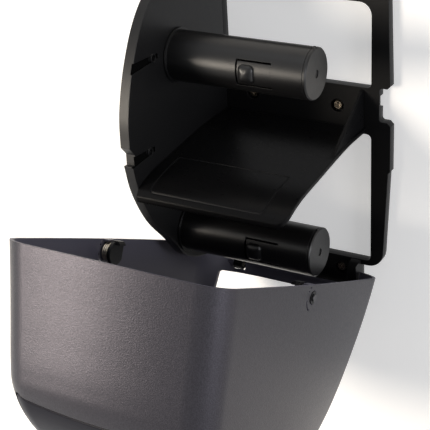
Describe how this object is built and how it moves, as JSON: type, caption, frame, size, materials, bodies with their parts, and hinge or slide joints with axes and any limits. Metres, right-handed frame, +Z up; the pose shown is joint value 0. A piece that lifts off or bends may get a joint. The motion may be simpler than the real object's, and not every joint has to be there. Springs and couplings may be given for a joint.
{
  "type": "double roll toilet paper dispenser",
  "caption": "Wall dispenser for toilet rolls: a windowed frame with a side plate, spindles and a shelf, under a deep curved cover that swings down for refilling.",
  "frame": {"origin": "middle of the rear face of the frame's cross piece, on the wall plane", "axes": "+Z up, -Y out of the wall towards the user, +X to the user's right; stored with the cover swung down to its open stop"},
  "size_m": [0.1798, 0.3017, 0.3812],
  "materials": {
    "frame_plastic": "black moulded plastic, satin",
    "spindle_plastic": "black moulded plastic, smooth satin",
    "cover_plastic": "smoke grey moulded plastic with a fine pebble grain",
    "panel_plastic": "dark smoke grey plastic, smooth",
    "latch_plastic": "black plastic",
    "screw_steel": "bright plated steel",
    "spring_steel": "spring wire with a light brassy tint"
  },
  "bodies": {
    "chassis": {"back_frame": "frame_plastic", "side_plate": "frame_plastic", "roll_shelf": "frame_plastic", "upper_spindle": "spindle_plastic", "upper_spindle_cap": "spindle_plastic", "lower_spindle": "spindle_plastic", "lower_spindle_cap": "spindle_plastic", "cross_wall_screw_left": "screw_steel", "cross_wall_screw_right": "screw_steel", "foot_wall_screw_left": "screw_steel", "foot_wall_screw_right": "screw_steel", "hinge_pin_left": "screw_steel", "hinge_pin_right": "screw_steel"},
    "upper_finger": {"upper_spindle_finger": "spindle_plastic"},
    "lower_finger": {"lower_spindle_finger": "spindle_plastic"},
    "cover": {"cover_shell": "cover_plastic", "front_panel": "panel_plastic", "latch_spring_left": "spring_steel", "latch_spring_right": "spring_steel"},
    "latch_left": {"latch_plunger_left": "latch_plastic", "latch_cap_left": "latch_plastic", "latch_screw_left": "screw_steel"},
    "latch_right": {"latch_plunger_right": "latch_plastic", "latch_cap_right": "latch_plastic", "latch_screw_right": "screw_steel"}
  },
  "joints": [
    {"name": "cover_hinge", "type": "hinge", "parent": "chassis", "child": "cover", "pos_m": [0, -0.017, -0.1584], "axis": [-1, 0, 0], "range_deg": [0, 63.54]},
    {"name": "latch_left_slide", "type": "slide", "parent": "cover", "child": "latch_left", "axis": [-1, 0, 0], "range_m": [0, 0.003], "stiffness_N_per_m": 400, "springref_m": -0.002, "deforming": ["latch_spring_left"]},
    {"name": "latch_right_slide", "type": "slide", "parent": "cover", "child": "latch_right", "axis": [1, 0, 0], "range_m": [0, 0.003], "stiffness_N_per_m": 400, "springref_m": -0.002, "deforming": ["latch_spring_right"]},
    {"name": "upper_finger_flex", "type": "hinge", "parent": "chassis", "child": "upper_finger", "pos_m": [0.0257, -0.0969, 0.0523], "axis": [0, 0, -1], "range_deg": [0, 5], "stiffness_Nm_per_rad": 0.2, "springref_deg": -0.57},
    {"name": "lower_finger_flex", "type": "hinge", "parent": "chassis", "child": "lower_finger", "pos_m": [0.0257, -0.0969, -0.0933], "axis": [0, 0, -1], "range_deg": [0, 5], "stiffness_Nm_per_rad": 0.2, "springref_deg": -0.57}
  ]
}
